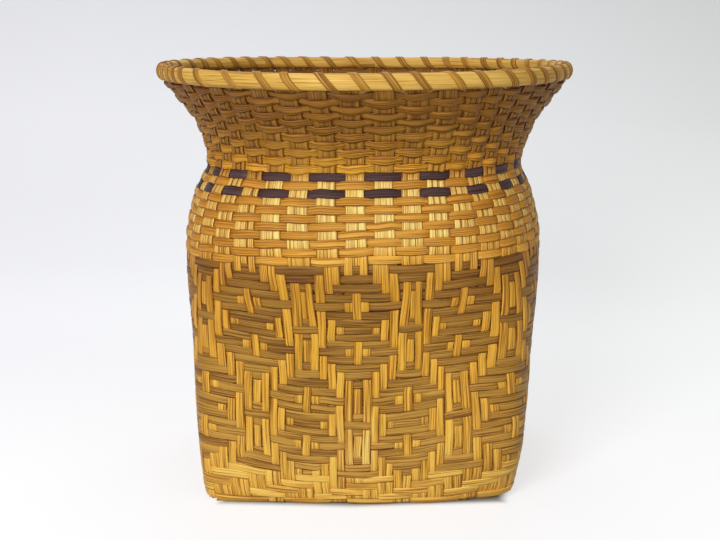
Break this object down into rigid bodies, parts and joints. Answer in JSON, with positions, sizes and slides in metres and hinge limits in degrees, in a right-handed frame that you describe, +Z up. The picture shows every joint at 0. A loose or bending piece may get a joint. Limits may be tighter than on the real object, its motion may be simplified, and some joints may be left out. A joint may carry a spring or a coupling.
{
  "type": "woven basket",
  "caption": "Splint basket with a square woven base, twill-patterned sides, a dark banded neck and a flared round rim lashed with splint.",
  "frame": {"origin": "centre of the base's underside", "axes": "+Z up along the basket's axis, one flat side faces -Y and is the front"},
  "size_m": [0.3546, 0.3546, 0.3468],
  "materials": {
    "natural_splint": "dry, uncoated, fine lengthwise grain",
    "stake_splint": "dry, uncoated, golden yellow, fine lengthwise grain",
    "brown_splint": "dyed olive brown, dry, lengthwise grain",
    "tan_splint": "dyed orange tan, dry, lengthwise grain",
    "dark_splint": "dyed purple black, dry, lengthwise grain",
    "flare_splint": "dyed light brown, dry, lengthwise grain",
    "hoop_cane": "half-round cane, bright yellow, satin",
    "lashing_splint": "light brown, dry, lengthwise grain"
  },
  "bodies": {
    "root": {"base_mat": "natural_splint", "front_stakes": "stake_splint", "right_stakes": "stake_splint", "back_stakes": "stake_splint", "left_stakes": "stake_splint", "base_courses": "natural_splint", "twill_courses": "brown_splint", "shoulder_weaver_1": "tan_splint", "shoulder_weaver_2": "tan_splint", "shoulder_weaver_3": "tan_splint", "shoulder_weaver_4": "tan_splint", "shoulder_weaver_5": "tan_splint", "shoulder_weaver_6": "tan_splint", "shoulder_weaver_7": "tan_splint", "shoulder_weaver_8": "tan_splint", "lower_dark_weaver": "dark_splint", "tan_weaver": "tan_splint", "upper_dark_weaver": "dark_splint", "flare_weaver_1": "flare_splint", "flare_weaver_2": "flare_splint", "flare_weaver_3": "flare_splint", "flare_weaver_4": "flare_splint", "flare_weaver_5": "flare_splint", "flare_weaver_6": "flare_splint", "flare_weaver_7": "flare_splint", "flare_weaver_8": "flare_splint", "flare_weaver_9": "flare_splint", "flare_weaver_10": "flare_splint", "flare_weaver_11": "flare_splint", "outer_rim_hoop": "hoop_cane", "inner_rim_hoop": "hoop_cane", "front_rim_lashing": "lashing_splint", "back_rim_lashing": "lashing_splint"}
  },
  "joints": []
}
